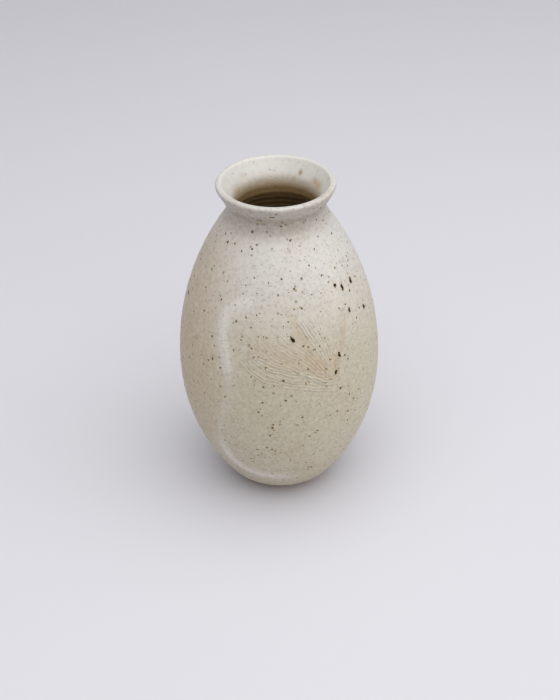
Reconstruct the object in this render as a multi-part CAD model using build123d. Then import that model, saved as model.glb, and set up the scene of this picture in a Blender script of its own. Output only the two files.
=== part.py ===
"""A wheel-thrown stoneware vase: an egg-shaped belly on a small trimmed foot, drawn in to a short
neck and opened into a flared mouth.

The pot is one thrown and fired piece of clay. What can be told apart on it are the layers that the
kiln bonded to that clay, and each layer is a sub-part:

    clay_body     the thrown clay: foot ring, floor, wall, neck and lip
    outer_glaze   the coat outside, from the glaze line above the foot to the crest of the lip
    liner_glaze   the coat inside, from the crest of the lip down over the floor
    glaze_run     a bead of thicker glaze that ran down the side and along above the foot
    iron_spots    iron nodules that melted through the outer coat, flush with its surface

Units are millimetres and degrees. The origin is the centre of the foot, on the surface that the
vase stands on, and +Z runs up the axis of the pot. The decorated side faces -Y.

Every layer boundary is the same outline set back by a depth: 0 is the surface that a hand touches
outside, WALL is the surface inside. So the layers share their faces exactly.
"""

import math
import os

from build123d import *

# Overall form
HEIGHT = 185.5  # foot to the crest of the lip
BELLY_RADIUS = 55.0  # the widest place
BELLY_HEIGHT = 79.0  # how high the widest place is
NECK_RADIUS = 25.6  # outside, at the narrowest place
COLLAR_HEIGHT = 14.0  # from the narrowest place up to the crest of the lip
NECK_CURVE = 7.2  # radius of the hollow between the shoulder and the flare
FLARE_ANGLE = 27.0  # how far the flare leans out from the vertical

# Wall
WALL = 4.6  # clay and both coats together, below the flare
GLAZE = 0.5  # each coat
LIP_ROUND = 1.8  # radius of the lip, which the flare thins towards

# Foot and the heel above it, where the belly rounds under
FOOT_RADIUS = 22.0
FOOT_HEIGHT = 4.0
FOOT_LEDGE = 2.0  # how far the heel's end stands out from the foot ring
HEEL_ROUND = 17.5  # radius of the heel
HEEL_END = 75.0  # how far the heel faces down where it ends
FOOT_RING_WIDTH = 5.0
FOOT_EDGE = 0.8  # rounding of the ring's edges
RECESS_DEPTH = 2.0  # the hollow inside the foot ring
FLOOR_TOP = 9.0  # the inside of the pot starts here
FLOOR_CORNER = 14.0  # rounding between the floor and the wall inside
GLAZE_END = 60.0  # how far the heel faces down where the outer coat stops

# Glaze run. Its route is drawn on the front of the pot, as shares of the belly's radius (to the
# right) and of the neck's height (up), so that it keeps its place when the pot changes size.
RUN_THICKNESS = 0.4
RUN_WIDTH = 3.6
RUN_ROUTE = [
    (-0.27, 0.81),
    (-0.52, 0.76),
    (-0.49, 0.61),
    (-0.54, 0.40),
    (-0.48, 0.16),
    (-0.24, 0.13),
    (0.12, 0.12),
]
RUN_BENDS = [7.0, 60.0, 60.0, 8.0, 20.0]  # radii at the five corners between the ends

# Iron spots: direction round the pot from the front (to the right), height as a share of the
# neck's height, width, length and lean.
IRON_SPOTS = [
    (43.8, 0.823, 1.9, 2.7, 20.0),
    (49.8, 0.808, 1.8, 4.0, 14.0),
    (60.5, 0.807, 2.6, 3.6, -18.0),
    (50.2, 0.736, 1.7, 3.4, 0.0),
    (66.0, 0.708, 2.4, 3.2, 12.0),
    (8.1, 0.705, 2.0, 4.2, 40.0),
    (36.1, 0.623, 2.0, 3.4, 4.0),
    (32.8, 0.570, 2.1, 2.8, -6.0),
    (-81.0, 0.724, 1.6, 3.0, 0.0),
]

# Worked out from the sizes above
NECK_HEIGHT = HEIGHT - COLLAR_HEIGHT
flare = math.radians(FLARE_ANGLE)
heel_end = math.radians(-HEEL_END)
heel_end_radius = FOOT_RADIUS + FOOT_LEDGE
heel_centre = (heel_end_radius - HEEL_ROUND * math.cos(heel_end), FOOT_HEIGHT - HEEL_ROUND * math.sin(heel_end))
neck_centre = (NECK_RADIUS + NECK_CURVE, NECK_HEIGHT)


def belly_arc_radius():
    """Radius of the arc from the widest place, where it is upright, down to the heel, which it holds."""
    across = BELLY_RADIUS - heel_centre[0]
    down = BELLY_HEIGHT - heel_centre[1]
    return (across**2 + down**2 - HEEL_ROUND**2) / (2 * (across - HEEL_ROUND))


def shoulder_arc_radius():
    """Radius of the arc from the widest place up to the hollow of the neck, tangent to both."""
    across = neck_centre[0] - BELLY_RADIUS
    up = NECK_HEIGHT - BELLY_HEIGHT
    return (across**2 + up**2 - NECK_CURVE**2) / (2 * (NECK_CURVE - across))


belly_arc = belly_arc_radius()
belly_centre = (BELLY_RADIUS - belly_arc, BELLY_HEIGHT)
heel_start = math.atan2(heel_centre[1] - belly_centre[1], heel_centre[0] - belly_centre[0])
shoulder_arc = shoulder_arc_radius()
shoulder_centre = (BELLY_RADIUS - shoulder_arc, BELLY_HEIGHT)
shoulder_end = math.atan2(neck_centre[1] - shoulder_centre[1], neck_centre[0] - shoulder_centre[0])
flare_rise = HEIGHT - LIP_ROUND * (1 + math.sin(flare)) - NECK_HEIGHT - NECK_CURVE * math.sin(flare)
flare_reach = flare_rise * math.tan(flare)
lip_centre = (
    NECK_RADIUS + NECK_CURVE * (1 - math.cos(flare)) + flare_reach - LIP_ROUND * math.cos(flare),
    HEIGHT - LIP_ROUND,
)


def inside_flare_angle():
    """Lean of the inside of the flare, a line that touches the neck's inside hollow and the lip."""
    across = lip_centre[0] - neck_centre[0]
    up = lip_centre[1] - neck_centre[1]
    setback = NECK_CURVE + WALL - LIP_ROUND
    return math.atan2(up, -across) - math.acos(setback / math.hypot(across, up))


inside_flare = inside_flare_angle()


def polar(centre, radius, angle):
    """The point at that angle, in radians, on a circle."""
    return (centre[0] + radius * math.cos(angle), centre[1] + radius * math.sin(angle))


def arc(centre, radius, start, end):
    """An arc of a circle between two angles, in radians."""
    return CenterArc(centre, radius, math.degrees(start), math.degrees(end - start))


def belly_and_neck(depth, lowest, lean):
    """The belly from its lowest angle up, the shoulder and the neck, as far as a flare with that lean."""
    return [
        arc(belly_centre, belly_arc - depth, lowest, 0),
        arc(shoulder_centre, shoulder_arc - depth, 0, shoulder_end),
        arc(neck_centre, NECK_CURVE + depth, math.pi + shoulder_end, math.pi - lean),
    ]


def outside_outline(depth, lowest):
    """The outline behind the outside by a depth, from an angle on the heel up to the lip's crest."""
    wall = [arc(heel_centre, HEEL_ROUND - depth, lowest, heel_start), *belly_and_neck(depth, heel_start, flare)]
    lip = arc(lip_centre, LIP_ROUND - depth, -flare, math.pi / 2)
    return [*wall, Line(wall[-1] @ 1, lip @ 0), lip]


def inside_outline(cover):
    """The outline behind the inside by a depth, from the axis over the floor up to the lip's crest."""
    depth = WALL - cover
    corner = FLOOR_CORNER + cover
    reach = belly_arc - WALL - FLOOR_CORNER
    corner_height = FLOOR_TOP + FLOOR_CORNER
    corner_angle = math.asin((corner_height - BELLY_HEIGHT) / reach)
    corner_centre = polar(belly_centre, reach, corner_angle)
    floor = Line((0, corner_height - corner), (corner_centre[0], corner_height - corner))
    turn = arc(corner_centre, corner, -math.pi / 2, corner_angle)
    wall = belly_and_neck(depth, corner_angle, inside_flare)
    lip = arc(lip_centre, LIP_ROUND - cover, math.pi - inside_flare, math.pi / 2)
    return [floor, turn, *wall, Line(wall[-1] @ 1, lip @ 0), lip]


def turned(edges):
    """The solid that a closed outline, drawn right of the axis, makes when it is turned once round."""
    outline = Wire([Plane.XZ * edge for edge in edges])
    return revolve(make_face(outline), Axis.Z, 360)


def clay_body():
    """The thrown clay, bare on the foot and under the heel."""
    outside = outside_outline(GLAZE, heel_end)
    inside = inside_outline(GLAZE)
    ring_inside = FOOT_RADIUS - FOOT_RING_WIDTH
    foot = FilletPolyline(
        outside[0] @ 0,
        (FOOT_RADIUS, FOOT_HEIGHT),
        (FOOT_RADIUS, 0),
        (ring_inside, 0),
        (ring_inside, RECESS_DEPTH),
        (0, RECESS_DEPTH),
        radius=FOOT_EDGE,
    )
    axis = Line((0, RECESS_DEPTH), inside[0] @ 0)
    return turned([*foot.edges(), *outside, *inside, axis])


def coat_between(first, second):
    """A coat between two outlines, closed straight across at both ends."""
    ends = [Line(first[0] @ 0, second[0] @ 0), Line(first[-1] @ 1, second[-1] @ 1)]
    return turned([*first, *second, *ends])


def outer_coat():
    """The outer coat before the iron spots are let into it."""
    stop = math.radians(-GLAZE_END)
    return coat_between(outside_outline(0, stop), outside_outline(GLAZE, stop))


def liner_glaze():
    """The coat inside. It covers the floor, so its lower end closes on the axis."""
    return coat_between(inside_outline(0), inside_outline(GLAZE))


def surface_at(height):
    """Radius of the outside at a height on the belly or shoulder, and how far it leans back there."""
    centre, radius = (belly_centre, belly_arc) if height < BELLY_HEIGHT else (shoulder_centre, shoulder_arc)
    angle = math.asin((height - BELLY_HEIGHT) / radius)
    return centre[0] + radius * math.cos(angle), math.degrees(angle)


def spot_plug(azimuth, share, width, length, lean):
    """An oval plug through the outer coat, square to the surface."""
    height = share * NECK_HEIGHT
    radius, lean_back = surface_at(height)
    on_profile = Pos(radius, 0, height) * Rot(0, -lean_back, 0) * Plane.YZ.location
    on_pot = Rot(0, 0, azimuth - 90) * on_profile
    oval = Plane(on_pot) * Rot(0, 0, lean) * Ellipse(width / 2, length / 2)
    reach = 3 * GLAZE  # past both faces of the coat
    return extrude(oval, amount=reach, both=True)


def glaze_run():
    """The bead, lying on the outer coat."""
    points = [(x * BELLY_RADIUS, z * NECK_HEIGHT) for x, z in RUN_ROUTE]
    route = FilletPolyline(*points, radius=RUN_BENDS)
    band = make_face(offset(route, RUN_WIDTH / 2, kind=Kind.ARC, side=Side.BOTH))
    cutter = extrude(Plane.XZ * band, amount=2 * BELLY_RADIUS)
    proud = belly_and_neck(-RUN_THICKNESS, heel_start, flare)[:2]
    flush = belly_and_neck(0, heel_start, flare)[:2]
    return coat_between(proud, flush) & cutter


def write(name, shape):
    """Writes a sub-part's solids to its file."""
    solids = shape.solids()
    print(name, len(solids), "solids,", round(sum(s.volume for s in solids), 1), "mm3")
    export_step(Compound(children=list(solids), label=name), f"parts/{name}.step")


os.makedirs("parts", exist_ok=True)
coat = outer_coat()
plugs = [spot_plug(*spot) for spot in IRON_SPOTS]
spots = [coat & plug for plug in plugs]
outer_glaze = coat
for plug in plugs:
    outer_glaze = outer_glaze - plug

write("clay_body", clay_body())
write("outer_glaze", outer_glaze)
write("liner_glaze", liner_glaze())
write("glaze_run", glaze_run())
write("iron_spots", Compound([solid for spot in spots for solid in spot.solids()]))
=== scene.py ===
"""A hand-thrown stoneware vase, finished around its fixed construction model.

The vase is one fired pot. Its coats are modelled as separate pieces: the speckled coat outside with
the imprint of a pressed seed head, the bead of glaze that ran down beside it, the iron that melted
through, the liner inside, and the clay that shows bare at the foot.

Sizes in the panel are in metres and the pot's own frame: +Z up its axis, its front towards -Y.
Bearings are angles round the pot from the front, towards +X.
"""

import math
import random

import bmesh
import bpy
import numpy as np
from bpy.props import FloatProperty, FloatVectorProperty, IntProperty, PointerProperty
from mathutils import Matrix, Vector


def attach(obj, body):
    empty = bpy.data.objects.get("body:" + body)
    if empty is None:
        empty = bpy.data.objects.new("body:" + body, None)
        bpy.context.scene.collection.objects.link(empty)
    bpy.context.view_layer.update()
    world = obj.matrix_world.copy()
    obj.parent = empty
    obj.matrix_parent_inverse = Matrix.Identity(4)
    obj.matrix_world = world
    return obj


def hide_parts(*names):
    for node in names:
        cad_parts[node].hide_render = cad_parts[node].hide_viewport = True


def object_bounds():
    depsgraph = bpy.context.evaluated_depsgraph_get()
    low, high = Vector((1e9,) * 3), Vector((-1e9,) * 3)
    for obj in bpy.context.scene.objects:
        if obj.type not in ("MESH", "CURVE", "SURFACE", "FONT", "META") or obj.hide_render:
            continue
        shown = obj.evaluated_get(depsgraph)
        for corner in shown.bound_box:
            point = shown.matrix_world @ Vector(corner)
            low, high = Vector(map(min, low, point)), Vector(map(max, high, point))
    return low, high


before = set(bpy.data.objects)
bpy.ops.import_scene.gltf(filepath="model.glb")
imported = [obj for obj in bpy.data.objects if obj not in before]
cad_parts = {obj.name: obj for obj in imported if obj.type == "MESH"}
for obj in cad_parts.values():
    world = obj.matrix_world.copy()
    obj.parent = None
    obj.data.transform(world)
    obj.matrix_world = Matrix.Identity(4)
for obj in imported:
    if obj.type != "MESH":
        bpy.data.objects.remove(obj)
CAD_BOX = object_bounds()

bl_info = {
    "name": "Stoneware Vase",
    "version": (1, 0, 0),
    "blender": (4, 5, 0),
    "location": "3D View > Sidebar > Pottery",
    "description": "Builds a speckled, hand-thrown stoneware vase piece by piece",
    "category": "Add Mesh",
}

MM = 0.001


def paint(red, green, blue):
    """A display colour from 0 to 255 as the linear colour that shaders take."""
    shares = (red / 255, green / 255, blue / 255)
    return tuple(((s + 0.055) / 1.055) ** 2.4 if s > 0.04 else s / 12.92 for s in shares)


def number(label, default, description, **limits):
    """A number that a user can change."""
    return FloatProperty(name=label, default=default, description=description, **limits)


def size(label, millimetres, description):
    """A length, stated here in millimetres and kept in metres."""
    shown = {"precision": 5, "unit": "LENGTH", "subtype": "DISTANCE"}
    return number(label, millimetres * MM, description, min=0.0, **shown)


def angle(label, degrees, description):
    """An angle, stated here in degrees."""
    return number(label, math.radians(degrees), description, subtype="ANGLE")


def colour(label, shown, description):
    """A colour, stated here as it is displayed."""
    return FloatVectorProperty(
        name=label, default=paint(*shown), description=description, size=3, min=0.0, max=1.0, subtype="COLOR"
    )


# ---------------------------------------------------------------- settings


class ThrownForm(bpy.types.PropertyGroup):
    """The turned form, as the construction model has it."""

    height: size("Height", CAD_BOX[1][2] / MM, "Foot to the crest of the lip")
    belly_radius: size("Belly radius", 55.0, "The widest place")
    belly_height: size("Belly height", 79.0, "How high the widest place is")
    neck_radius: size("Neck radius", 25.6, "Outside, at the narrowest place")
    collar_height: size("Collar height", 14.0, "From the narrowest place up to the crest of the lip")
    neck_curve: size("Neck curve", 7.2, "Radius of the hollow between the shoulder and the flare")
    flare: angle("Flare", 27.0, "How far the flare leans out from the vertical")
    wall: size("Wall", 4.6, "Clay and both coats together")
    coat: size("Coat", 0.5, "Thickness of each coat")
    lip_round: size("Lip round", 1.8, "Radius of the lip")
    foot_radius: size("Foot radius", 22.0, "Outside of the foot ring")
    foot_height: size("Foot height", 4.0, "How high the heel ends above the table")
    foot_ledge: size("Foot ledge", 2.0, "How far the heel's end stands out from the foot ring")
    foot_ring: size("Foot ring", 5.0, "Width of the foot ring")
    foot_edge: size("Foot edge", 0.8, "Rounding of the ring's edges")
    foot_recess: size("Foot recess", 2.0, "Depth of the hollow inside the foot ring")
    heel_round: size("Heel round", 17.5, "Radius of the heel")
    heel_end: angle("Heel end", 75.0, "How far the heel faces down where it ends")
    glaze_end: angle("Glaze end", 60.0, "How far the heel faces down where the outer coat stops")
    floor_top: size("Floor top", 9.0, "Where the inside starts")
    floor_corner: size("Floor corner", 14.0, "Rounding between the floor and the wall inside")


class SurfaceRelief(bpy.types.PropertyGroup):
    """The marks of the making that stand in the surface."""

    inset: size("Inset", 0.22, "How far the hand-made surface stays inside the true form")
    wobble: size("Wobble", 0.16, "How far the pot is out of round")
    ripple: size("Ripple", 0.035, "Height of the faint throwing ripple outside")
    ripple_pitch: size("Ripple pitch", 7.5, "From one ripple to the next")
    rib_height: size("Rib height", 0.5, "Height of the imprint's ribs")
    rib_width: size("Rib width", 0.48, "Half width of one ridge of a rib")
    rib_spread: size("Rib spread", 1.4, "From one ridge of a double rib to the other")
    bead_height: size("Bead height", 0.30, "Thickness of the glaze run at its middle")
    bead_width: size("Bead width", 8.6, "Width of the glaze run")
    ring_depth: size("Ring depth", 0.14, "Depth of the finger rings inside")
    ring_pitch: size("Ring pitch", 4.3, "From one finger ring to the next inside")
    fine_step: size("Fine step", 0.375, "Mesh spacing over the imprint")
    plain_step: size("Plain step", 1.9, "Mesh spacing elsewhere")


class IronSpeckle(bpy.types.PropertyGroup):
    """The iron grains that melted into specks."""

    density: number("Density", 24000.0, "Specks on a square metre", min=0.0)
    smallest: size("Smallest", 0.3, "Radius of the smallest specks")
    largest: size("Largest", 0.86, "Radius of the largest specks")
    seed: IntProperty(name="Seed", description="Changes where the specks fall", default=23)


class GlazeColours(bpy.types.PropertyGroup):
    """Colours of the coats and the clay, and of the painted shade."""

    lip: colour("Lip", (211, 208, 202), "Glaze on the lip and the flare")
    # The shoulder is lighter than the belly: the glaze's own yellower tone low down, and painted light from
    # above.
    high: colour("High", (213, 209, 202), "Glaze on the shoulder")
    low: colour("Low", (194, 184, 160), "Glaze low on the belly")
    tan: colour("Tan", (184, 156, 122), "Where the glaze is thin and the clay shows through")
    # Pale also paints a highlight on the imprint's ridges.
    pale: colour("Pale", (220, 214, 205), "Where the glaze is thick")
    # Painted shade, brown-tinted: it darkens the hollow of the neck, the flare's underside and the front of
    # the lip.
    painted_shade: colour("Umber", (120, 100, 72), "Where ash and iron gathered in the hollow of the neck")
    grey: colour("Grey", (112, 102, 88), "The finest specks")
    amber: colour("Amber", (152, 122, 56), "The rims of the iron specks")
    olive: colour("Olive", (98, 80, 36), "The middles of the smaller iron specks")
    iron: colour("Iron", (34, 17, 5), "The middles of the large iron specks")
    # Painted shade, tinted brown, that darkens the liner deep inside the pot.
    inside: colour("Inside", (152, 126, 84), "Glaze deep inside the pot")
    clay: colour("Clay", (168, 128, 94), "Bare fired clay")


class StudioSetting(bpy.types.PropertyGroup):
    """Camera and table."""

    camera_pitch: angle("Camera pitch", 35.3, "How far the camera looks down")
    camera_roll: angle("Camera roll", -1.15, "How far the camera is rolled")
    camera_distance: size("Camera distance", 666.4, "From the camera to the point that it looks at")
    aim_height: size("Aim height", 80.4, "How high the point that the camera looks at is")
    aim_side: number("Aim side", 0.46 * MM, "How far right of the axis that point is", unit="LENGTH")
    lens: number("Lens", 61.71, "Focal length in millimetres", min=1.0)
    floor: colour("Floor", (214, 213, 218), "The pale table and backdrop")


SETTINGS = {
    "pot_form": ThrownForm,
    "pot_relief": SurfaceRelief,
    "pot_speckle": IronSpeckle,
    "pot_colours": GlazeColours,
    "pot_studio": StudioSetting,
}


# Lamps: name, place and width in metres, power in watts, tint.
LAMPS = [
    ("window", (0.2, -0.32, 1.35), 2.2, 23.0, (1.0, 1.0, 1.0)),
    ("side", (1.5, -0.3, 0.3), 0.6, 2.7, (0.92, 0.96, 1.0)),
]
LAMP_AIM = (0, 0, 0.09)
ROOM_LIGHT = 0.42

# Heights between which the glaze turns to the shoulder's lighter colour, partly painted light from above, to
# the lip's, and to the painted brown shade inside.
TO_HIGH = (90 * MM, 170 * MM)
TO_LIP = (172 * MM, 181 * MM)
TO_INSIDE_SHADE = (180.5 * MM, 169.5 * MM)

# Where the outer coat's mesh is fine, for the imprint, and less fine beside it. Bearings in degrees.
FINE_HEIGHTS = (84 * MM, 138 * MM)
FINE_BEARINGS = (-27, 52)
SIDE_BEARINGS = (-40, 72)

# Mesh spacing of the outer coat at the neck, beside the imprint and at the back; of the liner, and of
# its neck; of the foot; and of covered surfaces, and where those bend sharply.
NECK_STEP = 0.6 * MM
SIDE_STEP = 1.0 * MM
BACK_STEP = 3.4 * MM
LINER_STEP = 0.75 * MM
LINER_NECK_STEP = 0.5 * MM
FOOT_STEP = 0.3 * MM
COVERED_STEP = 5 * MM
COVERED_BEND_STEP = 1.0 * MM

# How far below the narrowest place the spacing for the neck starts, outside and on covered surfaces.
NECK_ZONE = 9 * MM
COVERED_NECK_ZONE = 11 * MM

# How far the ribs wander off their line, and how much of its thickness the outer coat loses at most in
# a groove and at its lower edge, where it thins over about so many rows of the mesh.
RIB_TREMBLE = 0.33 * MM
DEEPEST_GROOVE = 0.86
THIN_EDGE = 0.8
THIN_ROWS = 1.2

# The waves that put the pot out of round: share, waves round the pot, radians for each metre up, and
# phase. They fade out over the last stretch below the lip's crest.
WAVES = [(1.0, 2, 0, 0.7), (0.6, 3, 40, 2.0), (0.4, 5, -65, 0.0)]
CALM_TOP = 9 * MM

# Domes of melted iron: sides and rise of a nodule and of an amber speck, how deep the rim is sunk into
# the coat, and how deep the underside lies.
NODULE_SIDES, NODULE_RISE = 28, 0.16 * MM
AMBER_SIDES, AMBER_RISE = 14, 0.1 * MM
DOME_SUNK, DOME_DEPTH = 0.03 * MM, 0.25 * MM

# The glaze run's mesh: columns across it, and how deep its edges are sunk into the coat.
BEAD_COLUMNS = 25
BEAD_SUNK = 0.05 * MM

# The share of the clay's outside, from the foot up, that is bare or just covered.
BARE_HEEL = 0.08

# Seeds for the ribs, for the amber specks' shapes and for the nodules' ragged outlines.
RIB_SEED = 5
AMBER_SEED = 8
RAGGED_SEED = 3

# Large iron nodules: bearing in degrees, height as a share of the neck's height, width and length in
# millimetres, lean in degrees. They are the ones that the construction model holds.
NODULES = [
    (43.8, 0.823, 1.9, 2.7, 20),
    (49.8, 0.808, 1.8, 4.0, 14),
    (60.5, 0.807, 2.6, 3.6, -18),
    (50.2, 0.736, 1.7, 3.4, 0),
    (66.0, 0.708, 2.4, 3.2, 12),
    (8.1, 0.705, 2.0, 4.2, 40),
    (36.1, 0.623, 2.0, 3.4, 4),
    (32.8, 0.570, 2.1, 2.8, -6),
    (-81.0, 0.724, 1.6, 3.0, 0),
]

# The route of the glaze run, on the front of the pot: shares of the belly's radius to the right and
# of the neck's height up.
RUN_ROUTE = [
    (-0.20, 0.815),
    (-0.38, 0.79),
    (-0.51, 0.75),
    (-0.53, 0.67),
    (-0.47, 0.57),
    (-0.50, 0.49),
    (-0.60, 0.34),
    (-0.57, 0.24),
    (-0.44, 0.17),
    (-0.20, 0.14),
    (0.20, 0.13),
]

# The imprint's ribs, from the stalk outwards: strength, then the places that the rib bends towards, each
# as a bearing in degrees and a height in millimetres.
RIBS = [
    (1.0, [(30, 88), (20, 91), (4, 96), (-8, 99), (-16, 103), (-24, 110)]),
    (0.5, [(26, 93), (12, 97), (0, 100), (-10, 104), (-20, 112)]),
    (1.0, [(29, 92), (20, 97), (12, 101), (2, 103), (-8, 106), (-18, 113)]),
    (0.9, [(28, 93), (18, 99), (3, 106), (-8, 110), (-19, 117)]),
    (0.6, [(28, 94), (11, 104), (-2, 111), (-11, 119)]),
    (0.6, [(27, 96), (15, 107), (5, 114), (-5, 121)]),
    (0.6, [(27, 98), (19, 109), (10, 117), (1, 125)]),
    (1.0, [(28, 98), (27, 106), (22, 115), (17, 123), (11, 132)]),
    (0.7, [(30, 104), (27, 114), (22, 122), (17, 129)]),
    (0.5, [(31, 106), (28, 118), (25, 125), (24, 134)]),
    (0.4, [(32, 106), (31, 116), (30, 125), (30, 132)]),
    (0.9, [(34, 99), (36, 107), (38, 118), (42, 132)]),
    (0.8, [(36, 101), (40, 112), (44, 123), (48, 133)]),
    (0.4, [(37, 98), (41, 104), (44, 112)]),
    (0.5, [(30, 89), (36, 83), (39, 76), (44, 65)]),
    (0.4, [(33, 88), (41, 80), (46, 73)]),
]

# Stains in the imprint: millimetres round from the front and up, half width and half height in
# millimetres, lean in degrees, how tan.
IMPRINT_STAINS = [
    (22, 104, 10, 4, -50, 0.45),
    (12, 124, 2.5, 11, 30, 0.5),
    (32, 103, 1.8, 6, -4, 0.5),
    (41.5, 121, 2.2, 13, -22, 0.28),
    (2, 112, 20, 7, -25, 0.35),
]

# Stains inside the flare: bearing in degrees, millimetres below the crest, half width in degrees, half
# height in millimetres, how tan and how amber.
FLARE_STAINS = [
    (147, 6.2, 2.2, 1.2, 0.5, 0.9),
    (154, 9.0, 3.0, 0.9, 0.4, 0.3),
    (120, 7.0, 6.0, 1.5, 0.6, 0.15),
    (108, 7.4, 8.0, 1.8, 0.7, 0.2),
    (117, 14.2, 3.0, 0.8, 0.4, 0.6),
    (92, 8.2, 5.0, 1.4, 0.4, 0.2),
    (-134, 5.6, 6.0, 1.6, 0.25, 0.0),
    (-112, 10.0, 12.0, 2.4, 0.4, 0.1),
    (-166, 13.4, 2.5, 0.8, 0.3, 0.4),
]

# Amber specks that stand out on the front: bearing in degrees, height and width in millimetres.
AMBER_SPECKS = [
    (-27, 128, 1.1), (-29, 127, 0.9), (-14, 133, 1.0), (-12, 134, 0.9), (-21, 140, 1.1),
    (-30, 137, 1.0), (-25, 142, 0.9), (-24, 146, 1.1), (-41, 136, 1.3), (-43, 116, 1.4),
    (-27, 113, 1.1), (-16, 116, 1.3), (-33, 107, 1.6), (-41, 104, 1.5), (-44, 102, 1.2),
    (-28, 96, 1.9), (-9, 95, 1.3), (3, 87, 1.3), (-12, 79, 1.6), (-6, 63, 1.6),
    (12, 75, 1.4), (20, 62, 1.2), (42, 80, 1.5), (50, 79, 1.3), (0, 143, 1.1),
    (6, 130, 1.1), (3, 128, 1.0), (17, 116, 1.4), (24, 115, 1.2), (21, 114, 1.1),
    (11, 108, 1.2), (16, 104, 1.3), (2, 99, 1.5), (28, 132, 1.0), (24, 141, 1.0),
    (35, 148, 1.2), (39, 144, 1.0), (42, 130, 1.2), (40, 105, 1.2), (42, 102, 1.1),
    (55, 120, 1.3), (3, 150, 1.5), (-18, 150, 1.1), (-28, 169, 1.6), (-3, 180, 1.6),
    (-20, 177, 1.3), (-16, 177, 1.0), (10, 174, 1.3), (-11, 170, 1.1), (14, 166, 1.4),
    (-20, 164, 1.2), (-24, 162, 1.5), (-53, 161, 1.4), (34, 174, 1.1), (32, 173, 1.0),
    (-44, 162, 1.0), (-34, 160, 1.0), (36, 160, 1.1),
]


# ---------------------------------------------------------------- form


def polar(centre, radius, turn):
    """The point at that angle on a circle."""
    return (centre[0] + radius * math.cos(turn), centre[1] + radius * math.sin(turn))


def arc(centre, radius, start, end):
    """Close-set points of an arc, both ends included."""
    count = max(3, int(abs(radius * (end - start)) / (0.05 * MM)))
    return [polar(centre, radius, start + (end - start) * i / count) for i in range(count + 1)]


def way_to(start, end):
    """The angle from one point to another."""
    return math.atan2(end[1] - start[1], end[0] - start[0])


def spaced(points, step_at):
    """Points along a close-set line, as far apart as step_at(place) says. Both ends are kept."""
    points = np.array(points, float)
    gaps = np.hypot(*np.diff(points, axis=0).T)
    points = points[np.append(True, gaps > 1e-9)]
    gaps = np.hypot(*np.diff(points, axis=0).T)
    middle = (points[1:] + points[:-1]) / 2
    counted = np.append(0, np.cumsum(gaps / step_at(middle)))
    wanted = np.linspace(0, counted[-1], int(math.ceil(counted[-1])) + 1)
    return np.stack([np.interp(wanted, counted, points[:, i]) for i in (0, 1)], -1)


def evenly(step):
    """The same spacing everywhere, for spaced."""
    return lambda places: np.full(len(places), step)


def rounded(route, times):
    """A route with its corners cut off a few times; both ends stay."""
    line = np.array(route, float)
    for _ in range(times):
        near, far = line[:-1] * 0.75 + line[1:] * 0.25, line[:-1] * 0.25 + line[1:] * 0.75
        line = np.concatenate([line[:1], np.stack([near, far], 1).reshape(-1, 2), line[-1:]])
    return line


def headings(points):
    """Unit vectors along a line."""
    along = np.gradient(points, axis=0)
    return along / np.hypot(along[:, 0], along[:, 1])[:, None]


def facing(points):
    """Unit normals of a line, on its right-hand side as it is walked."""
    along = headings(points)
    return np.stack([along[:, 1], -along[:, 0]], -1)


def smooth_step(low, high, value):
    """0 below low, 1 above high, and an easy rise between."""
    t = np.clip((np.asarray(value, float) - low) / (high - low), 0, 1)
    return t * t * (3 - 2 * t)


def bell(distance, width):
    """1 at no distance, and an easy fall towards 0 on both sides."""
    return np.exp(-((distance / width) ** 2))


def near_line(x, y, line, force):
    """Distance to a line, which side of it, and the line's force at the nearest place."""
    best = np.full(x.shape, 1.0)
    side = np.zeros(x.shape)
    pull = np.zeros(x.shape)
    for (ax, ay), (bx, by), fa, fb in zip(line[:-1], line[1:], force[:-1], force[1:]):
        dx, dy = bx - ax, by - ay
        t = np.clip(((x - ax) * dx + (y - ay) * dy) / (dx * dx + dy * dy), 0, 1)
        ox, oy = x - ax - t * dx, y - ay - t * dy
        distance = np.hypot(ox, oy)
        closer = distance < best
        best = np.where(closer, distance, best)
        side = np.where(closer, np.sign(dx * oy - dy * ox), side)
        pull = np.where(closer, fa + (fb - fa) * t, pull)
    return best, side, pull


def run_strength(progress):
    """How thick the glaze run is along its way: faint in its middle third, strong again along the foot."""
    faint = smooth_step(0.28, 0.38, progress) * smooth_step(0.70, 0.60, progress)
    start = np.sqrt(np.clip(progress / 0.03, 0, 1))
    end = np.sqrt(np.clip((1 - progress) / 0.12, 0, 1))
    return (1 - 0.75 * faint) * start * end


def point_on_pot(bearing, radius, height):
    """Places in space from bearings, radii and heights."""
    return np.stack([radius * np.sin(bearing), -radius * np.cos(bearing), height + 0 * bearing], -1)


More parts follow.
